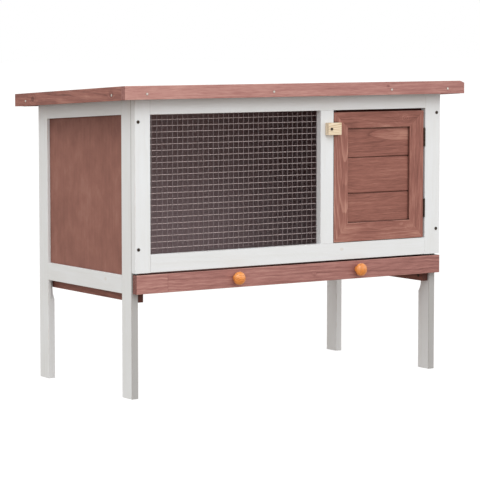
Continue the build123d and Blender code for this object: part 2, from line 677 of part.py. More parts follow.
def knob(x):
    """Turned knob with a short neck and a domed head, bored for its screw."""
    foot, waist, shoulder, rim, crown = KNOB_PROFILE
    tip = (0, KNOB_PROJECTION)
    rise = KNOB_PROJECTION - crown[1]
    crown_radius = (crown[0] ** 2 + rise**2) / (2 * rise)
    half_angle = math.asin(crown[0] / crown_radius) / 2
    crown_middle = (crown_radius * math.sin(half_angle), tip[1] - crown_radius * (1 - math.cos(half_angle)))
    neck_bend, lower_bend, upper_bend = KNOB_BENDS
    outline = [
        Line((0, 0), foot),
        Line(foot, waist),
        ThreePointArc(waist, neck_bend, shoulder),
        ThreePointArc(shoulder, lower_bend, rim),
        ThreePointArc(rim, upper_bend, crown),
        ThreePointArc(crown, crown_middle, tip),
        Line(tip, (0, 0)),
    ]
    solid = revolve(make_face(Wire(outline)), Axis.Y)
    solid = Pos(x, TRAY_FACE, KNOB_HEIGHT) * Rot(X=180) * solid
    bore_start = (x, TRAY_FACE - KNOB_SCREW_BITE, KNOB_HEIGHT)
    return solid - rod(bore_start, (0, 1, 0), KNOB_SCREW_BITE, KNOB_SCREW_RADIUS)


def knob_screw(x):
    """Screw from behind the tray's front board into a knob."""
    start = (x, TRAY_BACK_OF_FRONT, KNOB_HEIGHT)
    length = STOCK + KNOB_SCREW_BITE
    return headed(start, (0, -1, 0), length, KNOB_SCREW_RADIUS, *KNOB_SCREW_HEAD)


def runner():
    """Batten inside the right posts that the tray slides on."""
    x0, x1 = INNER_HALF_WIDTH - STOCK, INNER_HALF_WIDTH
    return block(x0, x1, POST_FRONT + RUNNER_SETBACK, POST_REAR - STOCK, RUNNER_BOTTOM, RUNNER_TOP)


def runner_screws():
    """Screws through each runner into its posts, from inside."""
    x = INNER_HALF_WIDTH - STOCK
    screws = []
    for y in (POST_FRONT + POST_WIDTH / 2, POST_REAR - STOCK - RUNNER_SCREW_INSET):
        length = STOCK + RUNNER_SCREW_BITE
        start = (x, y, RUNNER_MIDDLE)
        screw = headed(start, (1, 0, 0), length, RUNNER_SCREW_RADIUS, *RUNNER_SCREW_HEAD)
        screws += [screw, mirrored(screw)]
    return screws


PIECES.update(tray())
PIECES["left_knob"], PIECES["right_knob"] = (knob(x) for x in KNOB_CENTRES)
PIECES["knob_screws"] = [knob_screw(x) for x in KNOB_CENTRES]
PIECES["tray_front"] = drill(PIECES["tray_front"], PIECES["knob_screws"])
PIECES["runner_screws"] = runner_screws()
PIECES["right_runner"] = drill(runner(), PIECES["runner_screws"])
PIECES["left_runner"] = drill(mirrored(runner()), PIECES["runner_screws"])

# ---- fasteners of the cabinet and roof -------------------------------------------------------------

FRAME_SCREWS = ((-391.3, 576.0), (-391.3, 313.0), (389.0, 580.0), (389.0, 320.0))
FRAME_SCREW_RADIUS = 1.5
FRAME_SCREW_BITE = 20.0
FRAME_SCREW_HEAD = (3.5, 0.9)  # radius and thickness
FRAME_SCREW_RECESS = (3.6, 0.8, 0.5)  # across, width and depth of the cross
FASCIA_NAILS = (-389.0, -75.0, 238.0, 394.0)
NAIL_RADIUS = 1.0
FASCIA_NAIL_HEAD = 2.5
FASCIA_NAIL_DROP = 17.0
FASCIA_NAIL_BITE = 14.0
DECK_NAIL_HEAD = 2.2
DECK_NAIL_BITE = 12.0
PANEL_NAIL_HEAD = 2.0
PANEL_NAIL_RADIUS = 0.8
PANEL_NAIL_BITE = 9.0
PANEL_NAIL_HEIGHTS = (220.0, 330.0, 420.0, 510.0, 585.0)
PANEL_NAIL_XS = (-260.0, -130.0, 0.0, 130.0, 260.0)


def frame_dowels():
    """Dowels that join the rails of the front frame and of the back."""
    y = FRAME_FACE + FRAME_THICK / 2
    top_z = (OPENING_TOP + roof_z(y) - ROOF_THICK) / 2
    bottom_z = (FRAME_BOTTOM + OPENING_BOTTOM) / 2
    length = DOWEL_IN_STILE + DOWEL_IN_RAIL
    dowels = []
    for z in (top_z, bottom_z):
        dowels.append(rod((MESH_LEFT - DOWEL_IN_STILE, y, z), (1, 0, 0), length, DOWEL_RADIUS))
        dowels.append(rod((DOORWAY_RIGHT + DOWEL_IN_STILE, y, z), (-1, 0, 0), length, DOWEL_RADIUS))
    middle = (MESH_RIGHT + DOORWAY_LEFT) / 2
    dowels.append(rod((middle, y, OPENING_TOP + DOWEL_IN_STILE), (0, 0, -1), length, DOWEL_RADIUS))
    dowels.append(rod((middle, y, OPENING_BOTTOM - DOWEL_IN_STILE), (0, 0, 1), length, DOWEL_RADIUS))
    rear_y = POST_REAR - STOCK / 2
    rear_top_z = roof_z(POST_REAR) - ROOF_THICK - REAR_TOP_RAIL_WIDTH / 2
    for z in (rear_top_z, RUNNER_MIDDLE):
        start = (INNER_HALF_WIDTH + DOWEL_IN_POST, rear_y, z)
        dowel = rod(start, (-1, 0, 0), DOWEL_IN_POST + DOWEL_IN_RAIL, DOWEL_RADIUS)
        dowels += [dowel, mirrored(dowel)]
    return dowels


def front_frame_screws():
    """Pan-head screws through the front stiles into the posts."""
    screws = []
    for x, z in FRAME_SCREWS:
        length = FRAME_THICK + FRAME_SCREW_BITE
        screw = headed((x, FRAME_FACE, z), (0, 1, 0), length, FRAME_SCREW_RADIUS, *FRAME_SCREW_HEAD)
        top = (x, FRAME_FACE - FRAME_SCREW_HEAD[1], z)
        screws.append(screw - cross_recess(top, (0, 1, 0), *FRAME_SCREW_RECESS))
    return screws


def roof_nails():
    """Nails through the fascias and the deck into the battens and blocks."""
    nails = []
    length = STOCK + FASCIA_NAIL_BITE
    for x in FASCIA_NAILS:
        start = (x, ROOF_FRONT, ROOF_FRONT_TOP - FASCIA_NAIL_DROP)
        nails.append(headed(start, (0, 1, 0), length, NAIL_RADIUS, FASCIA_NAIL_HEAD, NAIL_HEAD_THICK))
    for x in BATTEN_XS:
        start = (x, ROOF_REAR, ROOF_REAR_TOP - FASCIA_NAIL_DROP)
        nails.append(headed(start, (0, -1, 0), length, NAIL_RADIUS, FASCIA_NAIL_HEAD, NAIL_HEAD_THICK))
    for y in BLOCK_CENTRES:
        start = (ROOF_LENGTH / 2, y, roof_z(y) - FASCIA_NAIL_DROP)
        nail = headed(start, (-1, 0, 0), length, NAIL_RADIUS, FASCIA_NAIL_HEAD, NAIL_HEAD_THICK)
        nails += [nail, mirrored(nail)]
    board = (DECK_REAR - DECK_FRONT) / ROOF_BOARD_COUNT
    down = (0, -math.sin(ROOF_ANGLE), -math.cos(ROOF_ANGLE))
    for i in range(ROOF_BOARD_COUNT):
        y = DECK_FRONT + (i + 0.5) * board
        for x in BATTEN_XS:
            start = (x, y, roof_z(y))
            drive = DECK_THICK + DECK_NAIL_BITE
            nails.append(headed(start, down, drive, NAIL_RADIUS, DECK_NAIL_HEAD, NAIL_HEAD_THICK / 2))
    return nails


def back_panel_nails():
    """Nails around the back panel into the rear posts and rails."""
    rear = POST_REAR + BACK_PANEL_THICK
    post_x = BODY_RIGHT - STOCK / 2
    rail_z = (RUNNER_MIDDLE, roof_z(POST_REAR) - ROOF_THICK - REAR_TOP_RAIL_WIDTH / 2)
    places = [(side * post_x, z) for side in (-1, 1) for z in PANEL_NAIL_HEIGHTS]
    places += [(x, z) for x in PANEL_NAIL_XS for z in rail_z]
    length = BACK_PANEL_THICK + PANEL_NAIL_BITE
    return [
        headed((x, rear, z), (0, -1, 0), length, PANEL_NAIL_RADIUS, PANEL_NAIL_HEAD, NAIL_HEAD_THICK / 2)
        for x, z in places
    ]


FASTENED = {
    "frame_dowels": (
        frame_dowels(),
        ("front_left_stile", "front_right_stile", "front_middle_stile", "front_top_rail", "front_bottom_rail")
        + ("rear_top_rail", "rear_bottom_rail", "left_rear_post", "right_rear_post"),
    ),
    "front_frame_screws": (
        front_frame_screws(),
        ("front_left_stile", "front_right_stile", "left_front_post", "right_front_post"),
    ),
    "runner_screws": (
        PIECES["runner_screws"],
        ("left_front_post", "right_front_post", "left_rear_post", "right_rear_post"),
    ),
    "mesh_staples": (
        PIECES["mesh_staples"],
        ("front_left_stile", "front_middle_stile", "front_top_rail", "front_bottom_rail"),
    ),
    "back_panel_nails": (
        back_panel_nails(),
        ("back_panel", "rear_top_rail", "rear_bottom_rail", "left_rear_post", "right_rear_post"),
    ),
    "roof_nails": (
        roof_nails(),
        ("front_fascia", "rear_fascia", "left_fascia", "right_fascia", "roof_battens")
        + tuple(f"roof_board_{i + 1}" for i in range(ROOF_BOARD_COUNT)),
    ),
}

for name, (fasteners, drilled) in FASTENED.items():
    PIECES[name] = fasteners
    for node in drilled:
        piece = PIECES[node]
        if isinstance(piece, list):
            PIECES[node] = [drill(solid, fasteners) for solid in piece]
        else:
            PIECES[node] = drill(piece, fasteners)

# ---- files -----------------------------------------------------------------------------------------

for name, piece in PIECES.items():
    solids = piece if isinstance(piece, list) else [piece]
    solids = [solid for item in solids for solid in item.solids()]
    shape = solids[0] if len(solids) == 1 else Compound(children=solids)
    export_step(shape, f"parts/{name}.step")
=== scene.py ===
import bpy
import math
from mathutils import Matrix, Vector


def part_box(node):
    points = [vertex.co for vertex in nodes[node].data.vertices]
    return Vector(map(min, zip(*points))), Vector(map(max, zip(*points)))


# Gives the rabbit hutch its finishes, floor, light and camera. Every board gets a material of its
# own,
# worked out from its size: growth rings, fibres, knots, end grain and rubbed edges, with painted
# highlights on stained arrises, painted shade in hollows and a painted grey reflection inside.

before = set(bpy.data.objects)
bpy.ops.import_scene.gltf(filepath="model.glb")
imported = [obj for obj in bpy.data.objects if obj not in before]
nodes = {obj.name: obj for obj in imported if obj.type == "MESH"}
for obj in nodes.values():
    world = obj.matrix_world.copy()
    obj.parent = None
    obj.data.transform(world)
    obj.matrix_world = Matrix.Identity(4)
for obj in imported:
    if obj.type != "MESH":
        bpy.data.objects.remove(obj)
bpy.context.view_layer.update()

MM = 1000.0  # millimetres in a metre
CREVICE_SAMPLES = 8
AXES = {"X": 0, "Y": 1, "Z": 2}


# ---------------------------------------------------------------- node graphs

class Graph:
    """One material's node tree, with short calls for the nodes used here."""

    def __init__(self, name):
        self.material = bpy.data.materials.new(name)
        self.material.use_nodes = True
        self.tree = self.material.node_tree
        self.tree.nodes.clear()
        output = self.add("ShaderNodeOutputMaterial")
        self.shader = self.add("ShaderNodeBsdfPrincipled")
        self.tree.links.new(self.shader.outputs["BSDF"], output.inputs["Surface"])

    def add(self, kind):
        return self.tree.nodes.new(kind)

    def feed(self, socket, value):
        """Links value if it is a socket, or sets it as the socket's constant."""
        if isinstance(value, bpy.types.NodeSocket):
            self.tree.links.new(value, socket)
        else:
            socket.default_value = value

    def math(self, operation, *values):
        node = self.add("ShaderNodeMath")
        node.operation = operation
        for socket, value in zip(node.inputs, values):
            self.feed(socket, value)
        return node.outputs[0]

    def total(self, first, *terms):
        """first plus each (value, weight) pair."""
        result = first
        for value, weight in terms:
            result = self.math("MULTIPLY_ADD", value, weight, result)
        return result

    def vector(self, operation, a, b):
        node = self.add("ShaderNodeVectorMath")
        node.operation = operation
        self.feed(node.inputs[0], a)
        self.feed(node.inputs[1], b)
        return node.outputs[0]

    def combine(self, x, y, z):
        node = self.add("ShaderNodeCombineXYZ")
        for socket, value in zip(node.inputs, (x, y, z)):
            self.feed(socket, value)
        return node.outputs[0]

    def step(self, value, low, high):
        """0 below low, 1 above high, smooth between; high may be the smaller."""
        node = self.add("ShaderNodeMapRange")
        node.interpolation_type = "SMOOTHSTEP"
        self.feed(node.inputs["Value"], value)
        flipped = high < low
        node.inputs["From Min"].default_value = min(low, high)
        node.inputs["From Max"].default_value = max(low, high)
        node.inputs["To Min"].default_value = 1.0 if flipped else 0.0
        node.inputs["To Max"].default_value = 0.0 if flipped else 1.0
        return node.outputs["Result"]

    def noise(self, place, detail=2.0, roughness=0.5):
        """Noise about 0, from about -0.5 to 0.5, one cell for each unit of place."""
        node = self.add("ShaderNodeTexNoise")
        self.feed(node.inputs["Vector"], place)
        node.inputs["Scale"].default_value = 1.0
        node.inputs["Detail"].default_value = detail
        node.inputs["Roughness"].default_value = roughness
        return self.math("SUBTRACT", node.outputs["Fac"], 0.5)

    def dice(self, value):
        """A random number from 0 to 1 for each whole value."""
        node = self.add("ShaderNodeTexWhiteNoise")
        node.noise_dimensions = "1D"
        self.feed(node.inputs["W"], value)
        return node.outputs["Value"]

    def ramp(self, value, *stops):
        """A colour from value, between (position, colour) stops."""
        node = self.add("ShaderNodeValToRGB")
        self.feed(node.inputs["Fac"], value)
        elements = node.color_ramp.elements
        while len(elements) < len(stops):
            elements.new(0.5)
        for element, (position, colour) in zip(elements, stops):
            element.position = position
            element.color = (*colour, 1.0)
        return node.outputs["Color"]

    def blend(self, factor, a, b):
        """Colour a where factor is 0, b where it is 1."""
        node = self.add("ShaderNodeMix")
        node.data_type = "RGBA"
        self.feed(node.inputs["Factor"], factor)
        for name, value in (("A", a), ("B", b)):
            socket = [s for s in node.inputs if s.name == name and s.type == "RGBA"][0]
            self.feed(socket, value if isinstance(value, bpy.types.NodeSocket) else (*value, 1.0))
        return [s for s in node.outputs if s.type == "RGBA"][0]

    def crevice(self, reach):
        """0 in narrow gaps and grooves, 1 in the open, from the surfaces within reach (metres)."""
        node = self.add("ShaderNodeAmbientOcclusion")
        node.samples = CREVICE_SAMPLES
        node.inputs["Distance"].default_value = reach
        return node.outputs["AO"]

    def bump(self, height, distance):
        """Relief of height times distance (metres)."""
        node = self.add("ShaderNodeBump")
        node.inputs["Strength"].default_value = 1.0
        node.inputs["Distance"].default_value = distance
        self.feed(node.inputs["Height"], height)
        self.tree.links.new(node.outputs["Normal"], self.shader.inputs["Normal"])

    def surface(self, colour, roughness, **constants):
        """Sets the shader's colour, roughness and any constant sockets."""
        self.feed(self.shader.inputs["Base Color"], colour)
        self.feed(self.shader.inputs["Roughness"], roughness)
        for name, value in constants.items():
            self.shader.inputs[name.replace("_", " ")].default_value = value


def srgb(red, green, blue):
    """A colour given in 0 to 255 steps, as linear light."""
    return tuple(
        c / 12.92 if c <= 0.04045 else ((c + 0.055) / 1.055) ** 2.4
        for c in (red / 255.0, green / 255.0, blue / 255.0)
    )


# ---------------------------------------------------------------- timber

# Noise cells per millimetre of board, across, through and along the grain.
DRIFT = (0.018, 0.018, 0.0045)
WIGGLE = (0.06, 0.06, 0.018)
FIBRE = (1.0, 1.0, 0.030)
STREAK = (0.24, 0.24, 0.0070)
FLECK = (0.42, 0.42, 0.035)
BLOTCH = (0.022, 0.022, 0.009)
CHIP = (0.25, 0.25, 0.05)
PORE = (0.75, 0.75, 0.05)
CLOUD = (0.035, 0.035, 0.022)
WORN = (0.012, 0.012, 0.007)

JOINT_JUMP = 700.0  # mm along the grain between the figures on the two sides of a scarf joint
KNOT_SQUASH = 0.72  # a knot is longer along the grain than across
KNOT_RINGS = 14.0  # radians of ring pattern for each knot radius
KNOT_SWELL = 2.6  # how far the rings bend out around a knot, in knot radii
FIBRE_SWAY = 9.0  # sideways wander of the fibres, in mm for each unit of wiggle
# On stained boards the lighter arrises are painted highlight as well as wear.
ARRIS_CHIPS = -2.2  # mm that the wear strays from an even line along the arrises
SEED_STEPS = (37.1, 91.7, 53.9)  # mm that each seed moves the figure, across, through and along
SEED_SPAN = 400.0  # mm, the most that it moves


class Board:
    """The growth rings, fibres and edges of one board, as sockets in its own material.

    along is the grain's axis and face the axis that the broad face looks along. pith is the
    heart of the tree from the board's middle (across, through) in mm, and taper how fast it
    comes nearer along the board. spacing is from ring to ring and wander how far the rings
    stray, both in mm. knots are (across, along, radius) in mm from the middle, and joint is
    the place of a scarf joint along the board.
    """

    def __init__(self, node, along, face, seed, pith=(0.0, -70.0), taper=0.04,
                 spacing=5.5, wander=7.0, knots=(), joint=None):
        g = self.g = Graph(node)
        low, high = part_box(node)
        middle = (low + high) / 2
        half = (high - low) / 2 * MM
        across = [a for a in "XYZ" if a not in (along, face)][0]
        place = g.add("ShaderNodeTexCoord").outputs["Object"]
        place = g.vector("SUBTRACT", place, tuple(middle))
        place = g.vector("MULTIPLY", place, (MM, MM, MM))
        split = g.add("ShaderNodeSeparateXYZ")
        g.feed(split.inputs[0], place)
        a = split.outputs[AXES[across]]
        b = split.outputs[AXES[face]]
        l = split.outputs[AXES[along]]
        half_a, half_b = half[AXES[across]], half[AXES[face]]
        self.across = a
        self.half_across = half_a
        self.along = l
        self.fraction = g.math("MULTIPLY", l, 1.0 / half[AXES[along]])
        facing = g.add("ShaderNodeSeparateXYZ")
        g.feed(facing.inputs[0], g.add("ShaderNodeTexCoord").outputs["Normal"])
        self.end = g.step(g.math("ABSOLUTE", facing.outputs[AXES[along]]), 0.6, 0.8)
        self.near_face = g.step(facing.outputs[AXES[face]], 0.2, -0.2)
        self.joined = None
        if joint is not None:
            self.joined = g.step(l, joint + 0.2, joint - 0.2)
            self.seam = g.step(g.math("ABSOLUTE", g.math("SUBTRACT", l, joint)), 0.9, 0.2)
            l = g.math("MULTIPLY_ADD", self.joined, JOINT_JUMP, l)
        shift = tuple(seed * step % SEED_SPAN for step in SEED_STEPS)
        self.place = g.vector("ADD", g.combine(a, b, l), shift)

        drift = self.grain(DRIFT)
        wiggle = self.wiggle = self.grain(WIGGLE)
        side = g.total(g.math("SUBTRACT", a, pith[0]), (drift, wander * 2.0))
        deep = g.total(g.math("SUBTRACT", b, pith[1]), (l, taper))
        radius = g.math("SQRT", g.math("ADD", g.math("POWER", g.math("ABSOLUTE", side), 2.0),
                                       g.math("POWER", g.math("ABSOLUTE", deep), 2.0)))
        radius = g.total(radius, (wiggle, spacing * 0.9))
        self.knot = None
        for knot_a, knot_l, size in knots:
            da = g.math("SUBTRACT", a, knot_a)
            dl = g.math("MULTIPLY", g.math("SUBTRACT", l, knot_l), KNOT_SQUASH)
            far = g.math("ADD", g.math("MULTIPLY", da, da), g.math("MULTIPLY", dl, dl))
            far = g.math("SQRT", far)
            far = g.math("DIVIDE", g.total(far, (wiggle, size * 0.9)), size)
            swell = g.math("EXPONENT", g.math("MULTIPLY", g.math("MULTIPLY", far, far), -0.42))
            radius = g.total(radius, (swell, size * KNOT_SWELL))
            mask = g.step(far, 1.15, 0.75)
            self.knot = mask if self.knot is None else g.math("MAXIMUM", self.knot, mask)
            turns = g.math("SINE", g.math("MULTIPLY", far, KNOT_RINGS))
            self.knot_rings = g.math("MULTIPLY", mask, turns)
        phase = g.math("ADD", g.math("DIVIDE", radius, spacing), seed * 0.37)
        within = g.math("FRACT", phase)
        late = g.math("MULTIPLY", g.step(within, 0.30, 0.90), g.step(within, 1.0, 0.93))
        year = g.dice(g.math("ADD", g.math("FLOOR", phase), seed * 11.0))
        self.late = g.math("MULTIPLY", late, g.math("MULTIPLY_ADD", year, 0.75, 0.25))

        sway = g.math("MULTIPLY", wiggle, FIBRE_SWAY)
        bent = g.vector("ADD", self.place, g.combine(sway, 0.0, 0.0))
        self.fibre = g.noise(g.vector("MULTIPLY", bent, FIBRE), 2.0, 0.65)
        self.streak = g.noise(g.vector("MULTIPLY", bent, STREAK), 3.0, 0.65)
        self.fleck = g.noise(g.vector("MULTIPLY", bent, FLECK), 3.0, 0.7)
        self.blotch = self.grain(BLOTCH)
        near_a = g.math("SUBTRACT", half_a, g.math("ABSOLUTE", a))
        near_b = g.math("SUBTRACT", half_b, g.math("ABSOLUTE", b))
        chips = self.grain(CHIP, 3.0, 0.65)
        gap = g.total(g.math("MAXIMUM", near_a, near_b), (chips, ARRIS_CHIPS))
        self.arris = g.step(gap, 1.5, 0.35)

    def grain(self, cells, detail=2.0, roughness=0.5):
        """Noise in the board's own millimetres."""
        return self.g.noise(self.g.vector("MULTIPLY", self.place, cells), detail, roughness)

    def relief(self):
        """Height of the raised fibres and late wood."""
        return self.g.total(0.5, (self.fibre, 0.6), (self.late, 0.4), (self.streak, 0.3))


def stain_colours(dark, mid, light, pink):
    """Three (base, change for each unit of pink) colours as the stops of a ramp."""
    stops = []
    for position, (base, change) in zip((0.08, 0.5, 0.95), (dark, mid, light)):
        stops.append((position, srgb(*(b + c * pink for b, c in zip(base, change)))))
    return stops


WOOD_STAIN = (
    ((92, 52, 44), (16, 14, 16)),
    ((148, 95, 83), (20, 22, 28)),
    ((196, 146, 128), (12, 16, 24)),
)
PLYWOOD_STAIN = (
    ((92, 54, 47), (16, 14, 16)),
    ((146, 98, 86), (20, 24, 30)),
    ((190, 146, 132), (14, 18, 26)),
)
# A painted reflection: the grey veil laid over the inside faces that are seen through the mesh.
REFLECTION_VEIL = srgb(176, 158, 163)  # the greyed faces towards the inside
DIRT_AND_SHADE_IN_GROOVES = srgb(58, 34, 28)
PAINT = ((0.0, srgb(204, 201, 197)), (0.5, srgb(224, 225, 226)), (1.0, srgb(234, 237, 242)))
RUBBED_PAINT = srgb(199, 178, 164)
KNOT_THROUGH_PAINT = srgb(205, 190, 172)
PAINT_GAP_DIRT_AND_SHADE = srgb(130, 118, 110)
JOINT_SHADE = srgb(112, 104, 98)


def pale_tongue(board, value, middle, tip, half_width, length):
    """Adds a pale figure with a dark rim, in from the board's far end."""
    g = board.g
    inward = g.math("MULTIPLY", g.math("SUBTRACT", board.along, tip), 1.0 / length)
    aside = g.math("MULTIPLY", g.math("SUBTRACT", board.across, middle), 1.0 / half_width)
    inside = g.math("SUBTRACT", inward, g.math("MULTIPLY", aside, aside))
    inside = g.total(inside, (board.wiggle, 0.25))
    value = g.total(value, (g.step(inside, -0.04, 0.10), 0.15))
    rim = g.math("MULTIPLY", g.step(inside, -0.20, -0.02), g.step(inside, 0.06, -0.02))
    return g.total(value, (rim, -0.10))


def stained(node, tone=0.0, pink=0.0, contrast=1.0, rings=-0.17, fade=0.0, knot=-0.26,
            tongue=None, grey=0.0, **grain):
    """Softwood under a thin red-brown stain: the late wood takes it darker, the arrises lighter,
    with rubbed stain and a painted highlight.

    tone lightens the whole board and fade darkens it towards its far end, a painted shade as the
    light falls off along the board. rings is the late wood's own tone and knot the knots'. grey
    covers the face towards -X, -Y or -Z with a painted reflection, a grey veil laid over it.
    tongue is a pale figure in from the far end, as (middle across, tip, half width, length).
    """
    board = Board(node, **grain)
    g = board.g
    # The arris term lightens the edges: rubbed stain, and a painted highlight where rounded edges
    # catch the light.
    # fade is a painted shade: the board darkens along its length as the light falls off.
    value = g.total(0.5 + tone, (board.streak, 0.54 * contrast), (board.blotch, 0.32 * contrast),
                    (board.fibre, 0.40), (board.fleck, 0.48), (board.late, rings * contrast),
                    (board.arris, 0.16), (board.fraction, -fade), (board.end, -0.34))
    if board.joined is not None:
        value = g.total(value, (board.joined, 0.02), (board.seam, -0.22))
    if board.knot is not None:
        value = g.total(value, (board.knot, knot), (board.knot_rings, 0.09))
    if tongue is not None:
        value = pale_tongue(board, value, *tongue)
    colour = g.ramp(value, *stain_colours(*WOOD_STAIN, pink))
    # grey lays the painted reflection, a grey veil, over the faces towards the inside.
    if grey:
        colour = g.blend(g.math("MULTIPLY", board.near_face, grey), colour, REFLECTION_VEIL)
    # Dirt with painted shade: grooves, gaps and recesses within 6 mm darken towards
    # DIRT_AND_SHADE_IN_GROOVES.
    colour = g.blend(g.step(g.crevice(0.006), 0.98, 0.35), colour, DIRT_AND_SHADE_IN_GROOVES)
    rough = g.total(0.62, (board.fibre, 0.25), (board.late, -0.12))
    g.surface(colour, rough, Specular_IOR_Level=0.28)
    g.bump(board.relief(), 0.00028)
    return g.material


def painted(node, tone=0.0, front_joint=False, **grain):
    """Softwood under one thin coat of white: the grain shows faintly, the arrises are rubbed.

    front_joint shades the front face of a post, and a line along its sides, where the front
    frame meets it in an open joint. The leg below the frame is shaded in the same way.
    """
    board = Board(node, **grain)
    g = board.g
    value = g.total(0.62 + tone, (board.streak, 0.26), (board.blotch, 0.40),
                    (board.fibre, 0.20), (board.late, -0.09))
    colour = g.ramp(value, *PAINT)
    rub = g.math("MULTIPLY", board.arris, g.step(board.streak, -0.02, 0.16))
    colour = g.blend(g.math("MULTIPLY", rub, 0.40), colour, RUBBED_PAINT)
    if board.knot is not None:
        colour = g.blend(g.math("MULTIPLY", board.knot, 0.30), colour, KNOT_THROUGH_PAINT)
    # Dirt with painted shade: joints, corners and gaps within 3 mm darken towards
    # PAINT_GAP_DIRT_AND_SHADE.
    gaps = g.step(g.crevice(0.003), 0.85, 0.25)
    colour = g.blend(g.math("MULTIPLY", gaps, 0.32), colour, PAINT_GAP_DIRT_AND_SHADE)
    if front_joint:
        line = g.step(g.math("ADD", board.across, board.half_across), 2.2, 0.8)
        colour = g.blend(g.math("MULTIPLY", line, 0.55), colour, JOINT_SHADE)
    rough = g.total(0.46, (board.fibre, 0.28), (board.blotch, 0.15))
    g.surface(colour, rough, Specular_IOR_Level=0.36)
    g.bump(board.relief(), 0.00018)
    return g.material


def plywood(node, tone=0.0, pink=0.0, contrast=1.0, grey=0.0, top=0.0, **grain):
    """Rotary-cut veneer under the same stain: broad, soft figure with short open pores.

    top is how much the sheet darkens towards its far end, a painted shadow under the eaves.
    """
    board = Board(node, **grain)
    g = board.g
    speck = g.step(board.grain(PORE, 2.0, 0.7), 0.13, 0.26)
    cloud = board.grain(CLOUD, 3.0, 0.6)
    worn = board.grain(WORN)
    # Painted shadow: far_end and top darken the sheet towards its far end, under the eaves.
    far_end = g.step(board.fraction, 0.45, 0.95)
    # Painted shade: the wide crevice term darkens the sheet near the rails, lips and eaves that
    # overhang it.
    value = g.total(0.32 + tone, (g.crevice(0.12), 0.20), (far_end, -top),
                    (board.streak, 0.08 * contrast), (cloud, 0.55 * contrast),
                    (worn, 0.30 * contrast), (board.fibre, 0.16),
                    (board.late, -0.05 * contrast), (speck, -0.08))
    colour = g.ramp(value, *stain_colours(*PLYWOOD_STAIN, pink))
    # grey lays the painted reflection, a grey veil, over the faces towards the inside.
    if grey:
        colour = g.blend(g.math("MULTIPLY", board.near_face, grey), colour, REFLECTION_VEIL)
    g.surface(colour, g.total(0.66, (board.fibre, 0.2)), Specular_IOR_Level=0.25)
    g.bump(g.total(0.5, (board.fibre, 0.5), (speck, -0.5)), 0.0002)
    return g.material


# Every board: its grain axis, the axis that its broad face looks along, and its figure.
STAINED = {
    "front_fascia": dict(
        along="X", face="Y", pith=(30, -90), taper=0.012, spacing=5, tone=0.12, pink=1.0,
        fade=0.09, knots=((5, 228, 2.6),),
    ),
    "left_fascia": dict(
        along="Y", face="X", pith=(-20, 60), taper=0.02, spacing=5.5, tone=0.0, pink=0.3,
        contrast=1.35, knots=((-9, 146, 6.0), (7, -186, 4.0)),
    ),
    "right_fascia": dict(
        along="Y", face="X", pith=(25, -80), taper=0.02, tone=0.02, pink=0.2,
        knots=((-6, 90, 4.0),),
    ),
    "rear_fascia": dict(
        along="X", face="Y", pith=(10, 80), taper=0.015, tone=0.05, pink=0.4,
        knots=((3, -190, 4.0),),
    ),
    "tray_front": dict(
        along="X", face="Y", pith=(-45, -60), taper=0.02, spacing=5, tone=0.01, pink=0.9,
        fade=0.07, joint=-322.0, knot=-0.12, knots=((-5, 52, 2.6),),
    ),
    "door_left_stile": dict(
        along="Z", face="Y", pith=(10, -26), taper=-0.095, spacing=5.5, wander=9, tone=-0.02,
        pink=0.2, contrast=1.2, rings=0.24,
    ),
    "door_right_stile": dict(
        along="Z", face="Y", pith=(-4, -30), taper=-0.055, spacing=5, tone=-0.05, pink=0.2,
        contrast=1.25, rings=0.06,
    ),
    "door_top_rail": dict(
        along="X", face="Y", pith=(-14, -26), taper=0.05, spacing=5, wander=13, tone=-0.05,
        pink=0.15, contrast=1.5, rings=0.06, knot=0.08, knots=((1, 72, 9.0),),
    ),
    "door_bottom_rail": dict(
        along="X", face="Y", pith=(10, -40), taper=-0.05, spacing=4.5, wander=10, tone=0.03,
        pink=0.2, contrast=1.35, rings=0.08, knot=0.04, knots=((9, 84, 5.0),),
    ),
    "door_board_top": dict(
        along="X", face="Y", pith=(12, -22), taper=0.10, spacing=7, wander=9, tone=-0.04,
        pink=0.1, contrast=1.1, rings=-0.08, tongue=(14.0, -24.0, 13.0, 60.0),
    ),
    "door_board_middle": dict(
        along="X", face="Y", pith=(60, -60), taper=0.03, spacing=4.5, tone=-0.05, pink=0.1,
        contrast=0.9, rings=-0.08,
    ),
    "door_board_bottom": dict(
        along="X", face="Y", pith=(-70, -30), taper=0.02, spacing=4.5, tone=-0.05, pink=0.1,
        contrast=0.8, rings=-0.06,
    ),
    "door_stop": dict(along="Z", face="X", pith=(30, -50)),
    "left_runner": dict(along="Y", face="X", pith=(20, -60), tone=-0.12),
    "right_runner": dict(along="Y", face="X", pith=(-20, -60), tone=-0.12),
    "tray_left_side": dict(along="Y", face="X", pith=(20, -60), tone=-0.05),
    "tray_right_side": dict(along="Y", face="X", pith=(-20, -60), tone=-0.05),
    "tray_back": dict(along="X", face="Y", pith=(15, 50), tone=-0.05),
    "rear_top_rail": dict(
        along="X", face="Y", pith=(14, 60), taper=0.02, tone=0.05, pink=0.4, grey=0.8,
    ),
    "rear_bottom_rail": dict(along="X", face="Y", pith=(-14, 60), taper=0.02),
    "roof_battens": dict(along="Y", face="Z", pith=(40, -60), tone=-0.05),
    "roof_board_1": dict(
        along="X", face="Z", pith=(8, -50), taper=0.035, tone=0.06, pink=0.4,
        knots=((18, -210, 6.0), (-22, 160, 4.5)),
    ),
    "roof_board_2": dict(
        along="X", face="Z", pith=(-60, -45), taper=0.02, tone=0.0, pink=0.35,
        knots=((-12, 260, 7.0),),
    ),
    "roof_board_3": dict(
        along="X", face="Z", pith=(10, -35), taper=-0.045, tone=0.09, pink=0.45,
        knots=((20, 40, 5.0),),
    ),
    "roof_board_4": dict(
        along="X", face="Z", pith=(70, -60), taper=0.02, tone=0.02, pink=0.35,
        knots=((-15, -120, 6.5), (10, 330, 5.0)),
    ),
    "roof_board_5": dict(
        along="X", face="Z", pith=(-6, -60), taper=0.03, tone=0.05, pink=0.4,
        knots=((5, -330, 5.0),),
    ),
}
